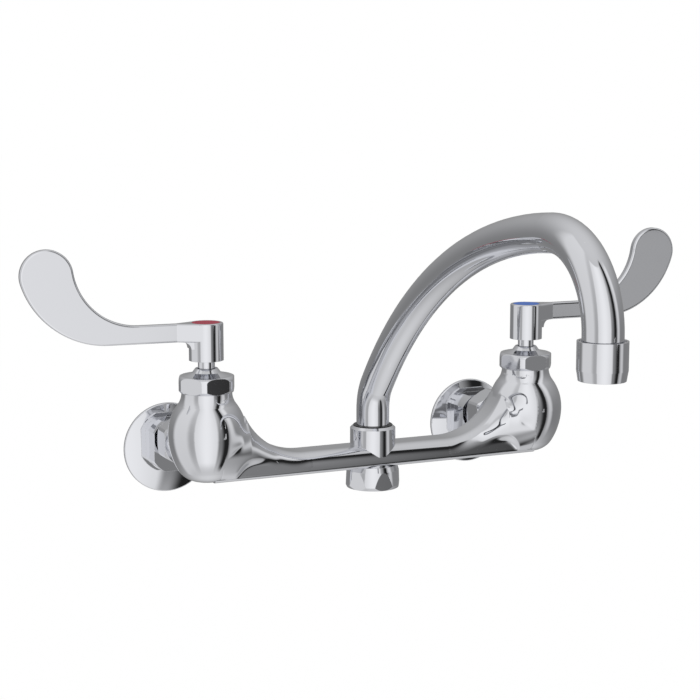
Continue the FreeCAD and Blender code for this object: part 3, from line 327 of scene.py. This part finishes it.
def coloured_acrylic(tree, colour, shade):
    """Two near shades of one colour, mixed and embossed by a wide noise."""
    place = add_node(tree, "ShaderNodeTexCoord").outputs["Object"]
    flow = add_node(tree, "ShaderNodeTexNoise", {"Scale": per_mm(RIPPLE_MM), "Detail": 2.0},
                    {"Vector": place})
    tint = add_node(tree, "ShaderNodeMix", {"data_type": "RGBA", "A": linear(colour), "B": linear(shade)},
                    {"Factor": flow.outputs[0]})
    bump = add_node(tree, "ShaderNodeBump", {"Distance": RIPPLE_DEPTH_MM * MM, "Strength": 0.5},
                    {"Height": flow.outputs[0]})
    return add_node(tree, "ShaderNodeBsdfPrincipled",
                    {"IOR": ACRYLIC_IOR, "Roughness": ACRYLIC_ROUGHNESS,
                     "Specular IOR Level": ACRYLIC_SPECULAR},
                    {"Base Color": tint.outputs["Result"], "Normal": bump.outputs[0]})


red_acrylic = make_material("red_acrylic", coloured_acrylic, "#A3253F", "#982038")
blue_acrylic = make_material("blue_acrylic", coloured_acrylic, "#3F6BBE", "#3862B2")
print("made", red_acrylic.name, "and", blue_acrylic.name)

# %% [markdown]
# ## Dressing the nodes
# Every CAD node's record names a material slot. Finishes could be given node by node, but the slot already
# says what each piece is made of, so one table from slot to finish dresses them all. The meshes stay as
# the CAD model made them.

# %% Dress every node by its slot
FINISH_OF_SLOT = {
    "chrome_plate": chrome,
    "brass": brass,
    "stainless_steel": steel,
    "ceramic": ceramic,
    "black_rubber": rubber,
    "black_plastic": black_nylon,
    "white_plastic": white_acetal,
    "index_red": red_acrylic,
    "index_blue": blue_acrylic,
}
for part in record["subparts"]:
    materials = nodes[part["node"]].data.materials
    materials.clear()
    materials.append(FINISH_OF_SLOT[part["material_slot"]])
print("dressed", len(record["subparts"]), "nodes")

# %% [markdown]
# ## The shoulders of the casting
# On the real casting the bar does not meet the valve in a line. Seen from above its sides swing out to
# touch the widest round of the valve, and higher up metal fills the corner, so that a reflection runs on
# without a break. A fillet follows one edge, but here the edge dies out at the top, where bar and valve
# already touch, and a surface stretched between curves ripples. So the form is written as a distance: a
# formula of place that is below nought inside the metal and nought on its skin. It counts in millimetres:
# d along the bar from the valve's axis, y across the bar and z up. The valve comes first. Its outline is
# four arcs that touch each other, so its distance is that of the circle on whose stretch a place lies.
# Each arc and round below is given by its radius.

# %% The turned valve
VALVE_X, VALVE_Y = 101.6, -73.0
BULB_RADIUS, BULB_WIDEST_Z, BULB_BOTTOM_Z = 22.0, 21.3, -5.0
BOTTOM_ROUND, LOWER_ARC, UPPER_ARC, NECK_ARC = 13.0, 39.0, 28.0, 11.0
NECK_RADIUS = 14.1

lower_x = BULB_RADIUS - LOWER_ARC
upper_x = BULB_RADIUS - UPPER_ARC
round_z = BULB_BOTTOM_Z + BOTTOM_ROUND
round_x = lower_x + math.sqrt((LOWER_ARC - BOTTOM_ROUND) ** 2 - (BULB_WIDEST_Z - round_z) ** 2)
round_joint_z = BULB_WIDEST_Z - (BULB_WIDEST_Z - round_z) * LOWER_ARC / (LOWER_ARC - BOTTOM_ROUND)
lower_slope = (BULB_WIDEST_Z - round_z) / (round_x - lower_x)
neck_x = NECK_RADIUS + NECK_ARC
neck_z = BULB_WIDEST_Z + math.sqrt((UPPER_ARC + NECK_ARC) ** 2 - (neck_x - upper_x) ** 2)
neck_joint_z = BULB_WIDEST_Z + (neck_z - BULB_WIDEST_Z) * UPPER_ARC / (UPPER_ARC + NECK_ARC)


def valve_distance(r, z):
    """Distance outside the turned valve at radius r and height z: one circle for each arc of its outline."""
    lower = np.hypot(r - lower_x, z - BULB_WIDEST_Z) - LOWER_ARC
    upper = np.hypot(r - upper_x, z - BULB_WIDEST_Z) - UPPER_ARC
    bottom = np.where(r > round_x, np.hypot(r - round_x, z - round_z) - BOTTOM_ROUND, BULB_BOTTOM_Z - z)
    neck = NECK_ARC - np.hypot(r - neck_x, z - neck_z)
    below = np.where(BULB_WIDEST_Z - z < lower_slope * (r - lower_x), lower, bottom)
    above = np.where(z > neck_joint_z, neck, upper)
    return np.where(z > BULB_WIDEST_Z, above, below)


def valve_radius(z):
    """Radius of the valve's outline at height z, counted as wide above its widest round as there."""
    within = np.clip(z, BULB_BOTTOM_Z, BULB_WIDEST_Z)
    lower = lower_x + np.sqrt(LOWER_ARC ** 2 - (BULB_WIDEST_Z - within) ** 2)
    bottom = round_x + np.sqrt(BOTTOM_ROUND ** 2 - np.minimum(within - round_z, 0.0) ** 2)
    return np.where(within < round_joint_z, bottom, lower)


print("the valve's arcs touch at", round(round_joint_z, 2), "and", round(neck_joint_z, 2), "mm")

# %% [markdown]
# ## The bar and its wing
# The bar is a rectangle with rounded corners whose top rises to the valve on a large circle. What the
# casting has beyond that is here called the wing: in plan the side leaves the bar in a straight line that
# touches the valve's round. Low on the bar it starts from a line, the foot, and high up it leans back to
# the rounded top. A wing could be a piece of its own, but then a seam would show, so it only makes the
# rectangle wider. Every edge of it is a smooth step, because a mirror shows each kink as a line.

# %% The bar's section
BAR_BOTTOM_Z, BAR_TOP_Z, BAR_HALF = -4.7, 7.4, 13.3
BAR_TOP_ROUND, BAR_BOTTOM_ROUND = 8.0, 3.3
FLARE_ARC, FLARE_START, FLARE_SHARE = 40.0, 56.4, 0.909
WING_START, WING_SOFT = 37.0, 1.0
WING_EDGE = 3.0
LEAN_FROM_Z, LEAN_PAST_TOP = 10.0, 1.0
FOOT_TOP_Z, FOOT_TOP_AT = 5.6, 24.0
FOOT_CLIMB, FOOT_SINK = 0.0045, 0.012


def rise(x, start, end):
    """Smooth cubic step from 0 at start to 1 at end."""
    t = np.clip((x - start) / (end - start), 0.0, 1.0)
    return t * t * (3.0 - 2.0 * t)


def fall(x, start, end):
    """Smooth cubic step from 1 at start to 0 at end."""
    return 1.0 - rise(x, start, end)


def flare_run(d):
    """How far d has come along the top's rising circle."""
    return np.clip(FLARE_START - d, 0.0, FLARE_ARC * FLARE_SHARE)


def bar_top(d):
    """Height of the bar's top at distance d from the valve axis: level, then a circle that rises."""
    return BAR_TOP_Z + FLARE_ARC - np.sqrt(FLARE_ARC ** 2 - flare_run(d) ** 2)


def foot_height(d):
    """Height of the wing's foot: its top, less a cube of the way to the valve or a square of the way out."""
    short = np.maximum(FOOT_TOP_AT - d, 0.0)
    far = np.maximum(d - FOOT_TOP_AT, 0.0)
    return FOOT_TOP_Z - FOOT_CLIMB * short ** 3 - FOOT_SINK * far ** 2


def wing(d, z):
    """How much wider the bar's side stands at d and z than its level face.

    In plan the side runs straight from the wing's start to touch the valve's round at that height, so
    its slope is the angle between two lines from the start: the tangent and the way to the axis. A soft
    maximum of the run and nought rounds the start."""
    away = math.hypot(WING_START, BAR_HALF)
    slope = np.arcsin(valve_radius(z) / away) - math.atan2(BAR_HALF, WING_START)
    run = WING_SOFT * np.logaddexp(0.0, (WING_START - d) / WING_SOFT)
    full = np.tan(np.maximum(slope, 0.0)) * run
    foot = foot_height(d)
    lean = fall(z, LEAN_FROM_Z, bar_top(d) + LEAN_PAST_TOP)
    return full * rise(z, foot - WING_EDGE, foot + WING_EDGE) * lean


def bar_distance(d, y, z):
    """Distance outside the bar's section at d: a rectangle with rounded corners, wider at the wing.

    The upper corners are rounded square to the rising top, so the section shows them drawn out."""
    upright = np.sqrt(1.0 - (flare_run(d) / FLARE_ARC) ** 2)
    above = (z - bar_top(d)) * upright + BAR_TOP_ROUND
    below = BAR_BOTTOM_Z + BAR_BOTTOM_ROUND - z
    corner = np.where(above > 0.0, BAR_TOP_ROUND, BAR_BOTTOM_ROUND)
    past_y = np.abs(y) - BAR_HALF - wing(d, z) + corner
    past_z = np.maximum(above, below)
    outside = np.hypot(np.maximum(past_y, 0.0), np.maximum(past_z, 0.0))
    return outside + np.minimum(np.maximum(past_y, past_z), 0.0) - corner


print("the wing adds", round(float(wing(BULB_RADIUS, BULB_WIDEST_Z / 2.0)), 1), "mm beside the valve")

# %% [markdown]
# ## Joining the two
# The smaller of two distances is that of both bodies together, with a sharp corner. A smooth minimum takes
# a little off it where both are nearly equal, which fills the corner. It takes most where they are the
# same and nothing where they differ by the reach. The wing has filled the corner low down, so the blend
# is let in by smooth steps only where it is needed, high on the sides.

# %% The blended distance
BLEND_REACH = 8.0
BLEND_ACROSS = (4.0, 12.0)
BLEND_ALONG = (6.0, 15.0)
BLEND_UP = (12.0, 19.0)
BLEND_UNDER_TOP = (1.0, 9.0)
CAP_Z = 43.0


def blended_distance(d, y, z):
    """The smaller distance, less a quarter of the reach times the square of how nearly equal both are.

    A level cap closes the form at the top."""
    valve = valve_distance(np.hypot(d, y), z)
    bar = bar_distance(d, y, z)
    near = np.clip(1.0 - np.abs(valve - bar) / BLEND_REACH, 0.0, 1.0)
    share = rise(np.abs(y), *BLEND_ACROSS) * rise(d, *BLEND_ALONG)
    share = share * rise(z, *BLEND_UP) * rise(bar_top(d) - z, *BLEND_UNDER_TOP)
    blended = np.minimum(valve, bar) - share * near ** 2 * BLEND_REACH / 4.0
    return np.maximum(blended, z - CAP_Z)


print("the blend reaches", BLEND_REACH, "mm and takes off", BLEND_REACH / 4.0, "mm at most")

# %% [markdown]
# ## From the distance to a skin
# Blender could turn such a field into a mesh by voxels, but they leave steps that a mirror shows. Instead
# a ring of rays leaves the middle of each section of the bar, and the place where the distance is nought
# is found along each by halving. The skin stands a little under a hundredth of a millimetre proud of the
# casting, so that it covers it, and dips below it at both rims, so that no rim shows. A copy a wall deeper
# closes each skin to a sleeve.

# %% Points and faces of a skin
RINGS, RAYS = 150, 240
SKIN_FROM, SKIN_TO = 3.0, 59.0
RAY_LENGTH = 66.0
HALVINGS = 40
RIM_DIP, RIM_RUN = 0.04, 5.0


def skin_points(offset):
    """Grid of rings along the bar by rays round it, where the blended distance equals the offset.

    Towards each rim the offset is lowered by the rim's dip times a cube of how near the rim is."""
    d = np.linspace(SKIN_FROM, SKIN_TO, RINGS)[:, None]
    angle = np.linspace(0.0, 2.0 * np.pi, RAYS, endpoint=False)[None, :]
    middle = (bar_top(d) + BAR_BOTTOM_Z) / 2.0
    from_rim = np.minimum(d - SKIN_FROM, SKIN_TO - d)
    level = offset - RIM_DIP * np.clip(1.0 - from_rim / RIM_RUN, 0.0, 1.0) ** 3
    inside = np.zeros((RINGS, RAYS))
    outside = np.full((RINGS, RAYS), RAY_LENGTH)
    for _ in range(HALVINGS):
        reach = (inside + outside) / 2.0
        hidden = blended_distance(d, reach * np.cos(angle), middle + reach * np.sin(angle)) < level
        inside = np.where(hidden, reach, inside)
        outside = np.where(hidden, outside, reach)
    along = np.broadcast_to(d, inside.shape)
    return np.stack([along, inside * np.cos(angle), middle + inside * np.sin(angle)], axis=2)


def ring_faces(first, rings, rays, flip):
    """Quads between neighbouring rings of points, closed round each ring."""
    ring = np.arange(rings - 1)[:, None] * rays
    ray = np.arange(rays)[None, :]
    after = (ray + 1) % rays
    quads = np.stack([ring + ray, ring + after, ring + rays + after, ring + rays + ray], axis=2)
    quads = quads.reshape(-1, 4) + first
    return quads[:, ::-1] if flip else quads


print("a skin has", RINGS * RAYS, "points")

# %% The two sleeves
SKIN_COVER = 0.008
SKIN_WALL = 1.2


def add_mesh(name, points, faces, finish):
    """Object at the origin with these points in metres, faces and finish."""
    mesh = bpy.data.meshes.new(name)
    mesh.from_pydata(points.tolist(), [], faces.tolist())
    mesh.materials.append(finish)
    thing = bpy.data.objects.new(name, mesh)
    bpy.context.scene.collection.objects.link(thing)
    return thing


def shoulder(name, side):
    """Closed sleeve on one side of the bar: the skin, a copy a wall deeper and a strip at each rim."""
    points = np.concatenate([skin_points(SKIN_COVER).reshape(-1, 3), skin_points(-SKIN_WALL).reshape(-1, 3)])
    points[:, 0] = side * (VALVE_X - points[:, 0])
    points[:, 1] += VALVE_Y
    count = RINGS * RAYS
    ray = np.arange(RAYS)
    after = (ray + 1) % RAYS
    rim = np.stack([ray + count, after + count, after, ray], axis=1)
    far_rim = rim[:, ::-1] + (RINGS - 1) * RAYS
    faces = np.concatenate([ring_faces(0, RINGS, RAYS, False), ring_faces(count, RINGS, RAYS, True),
                            rim, far_rim])
    piece = add_mesh(name, points * MM, faces[:, ::-1] if side < 0 else faces, chrome)
    piece.data.polygons.foreach_set("use_smooth", np.ones(len(faces), dtype=bool))
    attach(piece, "valve_set")
    return piece


for side, name in ((-1, "hot_shoulder"), (1, "cold_shoulder")):
    piece = shoulder(name, side)
    print(name, "has", len(piece.data.polygons), "faces")

# %% [markdown]
# ## The studio
# Chrome shows its surroundings, so the surroundings are designed like a photographer's table. Lamps and
# panels could be objects, each moved until its reflection fits. Here they are one large sphere round the
# faucet, seen in reflections alone, whose brightness is a formula of direction, because then one number
# moves one edge. Two large softboxes stand in front and to the left with a dim panel between them, and a
# tall black flag and a narrow strip light stand to the right, both leaning a little. The rest of the room
# fades from a dark horizon to light above and below. Each lamp is a product of smooth steps over its four
# edges, and angles are in degrees.

# %% Brightness of the room by direction
HORIZON_LIGHT, CEILING_GAIN, FLOOR_GAIN = 0.27, 0.52, 0.60
CEILING_EDGE, FLOOR_EDGE = (-15.0, 80.0), (18.0, 88.0)
LEAN = 0.06
# Each outline gives the degrees over which a lamp fades in or out at its left, right, lower and upper edge.
DIM_PANEL = ((-100.0, -86.0), (-60.0, -58.0), (-72.0, -48.0), (63.0, 69.0))
PANEL_LIGHT, PANEL_SHARE = 0.75, 0.5
LEFT_SOFTBOX = ((-142.0, -124.0), (-86.0, -68.0), (-72.0, -48.0), (63.0, 69.0))
LEFT_LIGHT, LEFT_PER_DEGREE = 0.86, 0.0012
BLACK_FLAG = ((19.0, 34.0), (42.0, 46.0), (-64.0, -50.0), (60.0, 66.0))
FLAG_LIGHT = 0.02
STRIP = ((43.0, 56.0), (60.0, 72.0), (-60.0, -30.0), (45.0, 58.0))
STRIP_LIGHT, STRIP_PER_DEGREE = 0.78, 0.005
FRONT_SOFTBOX = ((-61.5, -55.0), (8.0, 17.0), (-72.0, -46.0), (60.0, 62.0))
FRONT_LIGHT, FRONT_GLOW, GLOW_AZIMUTH, GLOW_WIDTH = 0.88, 0.27, -22.0, 30.0


def lamp(azimuth, elevation, outline):
    """Share of a lamp in a direction: the product of smooth steps over its four edges."""
    left, right, low, high = outline
    return rise(azimuth, *left) * fall(azimuth, *right) * rise(elevation, *low) * fall(elevation, *high)


def blend(under, over, share):
    """Straight mix of two brightnesses."""
    return under * (1.0 - share) + over * share


def room_brightness(azimuth, elevation):
    """Light seen in a direction. Azimuth runs from the front of the faucet towards its right."""
    light = HORIZON_LIGHT + CEILING_GAIN * rise(elevation, *CEILING_EDGE)
    light = light + FLOOR_GAIN * rise(-elevation, *FLOOR_EDGE)
    light = blend(light, PANEL_LIGHT, PANEL_SHARE * lamp(azimuth, elevation, DIM_PANEL))
    left = LEFT_LIGHT + LEFT_PER_DEGREE * elevation
    light = blend(light, left, lamp(azimuth, elevation, LEFT_SOFTBOX))
    lean = azimuth + LEAN * elevation
    light = blend(light, FLAG_LIGHT, lamp(lean, elevation, BLACK_FLAG))
    light = blend(light, STRIP_LIGHT + STRIP_PER_DEGREE * elevation, lamp(lean, elevation, STRIP))
    front = FRONT_LIGHT + FRONT_GLOW * np.exp(-((azimuth - GLOW_AZIMUTH) / GLOW_WIDTH) ** 2)
    return blend(light, front, lamp(azimuth, elevation, FRONT_SOFTBOX))


print("straight ahead the room is", round(float(room_brightness(0.0, 0.0)), 2))

# %% The room as one sphere
ROOM_RADIUS = 40.0
ROOM_STEP = 1.0


def studio_light(tree):
    """Emission as bright as the mesh's own colour attribute."""
    colour = add_node(tree, "ShaderNodeVertexColor", {"layer_name": "light"})
    return add_node(tree, "ShaderNodeEmission", {"Strength": 1.0}, {"Color": colour.outputs["Color"]})


glow = make_material("studio_light", studio_light)
glow.cycles.emission_sampling = "NONE"


def add_reflected(name, points, faces, light):
    """Stage surface with a brightness at each point, seen in reflections alone and lighting nothing else."""
    thing = add_mesh(name, points, faces, glow)
    colours = np.stack([light, light, light, np.ones_like(light)], axis=1)
    layer = thing.data.color_attributes.new("light", "FLOAT_COLOR", "POINT")
    layer.data.foreach_set("color", colours.astype(np.float32).ravel())
    thing.visible_camera = False
    thing.visible_diffuse = False
    thing.visible_transmission = False
    thing.visible_shadow = False
    return thing


def studio_room():
    """Sphere of azimuth by elevation whose points carry the room's brightness."""
    azimuth = np.arange(-180.0, 180.0, ROOM_STEP)
    elevation = np.arange(-90.0 + ROOM_STEP, 90.0, ROOM_STEP)
    a, e = np.meshgrid(azimuth, elevation)
    across = np.cos(np.radians(e))
    points = ROOM_RADIUS * np.stack([np.sin(np.radians(a)) * across, -np.cos(np.radians(a)) * across,
                                     np.sin(np.radians(e))], axis=2)
    faces = ring_faces(0, *a.shape, False)
    return add_reflected("studio_room", points.reshape(-1, 3), faces, room_brightness(a, e).ravel())


room = studio_room()
print("room has", len(room.data.polygons), "faces")

# %% [markdown]
# ## Grey cards for the right-hand handle
# A flat blade mirrors one small stretch of the room, and on the right-hand handle that stretch is a plain
# mid grey. The room's formula could hold it, but the round parts would show it as well. A photographer
# puts up a small card there instead. The two cards stand where the blade and the arm reflect them, and
# are no larger than needed.

# %% Two upright cards
CARD_GREY = 0.47
HANDLE_MIDDLE = (0.16, -0.0755, 0.09)
# Each card is its middle, then its width and height, in metres.
BLADE_CARD = ((2.75, -4.30, -0.435), (0.32, 0.36))
ARM_CARD = ((2.43, -4.30, -0.507), (0.38, 0.17))


def grey_card(middle, size):
    """Upright rectangle of a width and a height that is turned to face the handle."""
    toward = np.array(HANDLE_MIDDLE) - np.array(middle)
    toward[2] = 0.0
    toward /= np.linalg.norm(toward)
    side = np.array([-toward[1], toward[0], 0.0]) * size[0] / 2.0
    up = np.array([0.0, 0.0, size[1] / 2.0])
    corners = np.array([middle - side - up, middle + side - up, middle + side + up, middle - side + up])
    return add_reflected("grey_card", corners, np.array([[0, 1, 2, 3]]), np.full(4, CARD_GREY))


for middle, size in (BLADE_CARD, ARM_CARD):
    print(grey_card(middle, size).name, "is", size[0], "by", size[1], "m")

# %% [markdown]
# ## Floor and world
# The picture's ground is pure white. Strong lamps on a grey floor could give that, but they would bleach
# the faucet too. Here the world is white in every direction at strength 1, so a colour renders as it is
# written, and the floor far below is white paper that keeps the faucet's faint shadow.

# %% White floor and white world
WHITE = (1.0, 1.0, 1.0, 1.0)
FLOOR_HALF = 20.0
FLOOR_Z = -0.6


def white_paper(tree):
    """Plain white that scatters light evenly."""
    return add_node(tree, "ShaderNodeBsdfDiffuse", {"Color": WHITE})


def studio_floor():
    """Level square round the origin, left out of reflections because the room has its own floor."""
    corners = np.array([(-1.0, -1.0, 0.0), (1.0, -1.0, 0.0), (1.0, 1.0, 0.0), (-1.0, 1.0, 0.0)]) * FLOOR_HALF
    corners[:, 2] = FLOOR_Z
    paper = make_material("white_paper", white_paper)
    floor = add_mesh("studio_floor", corners, np.array([[0, 1, 2, 3]]), paper)
    floor.visible_glossy = False
    return floor


studio_floor()
world = bpy.data.worlds.new("white_room")
world.use_nodes = True
world.node_tree.nodes.clear()
sky = add_node(world.node_tree, "ShaderNodeBackground", {"Color": WHITE, "Strength": 1.0})
add_node(world.node_tree, "ShaderNodeOutputWorld", links={"Surface": sky.outputs[0]})
bpy.context.scene.world = world
bpy.context.scene.view_settings.view_transform = "Standard"
print("floor at", FLOOR_Z, "m")
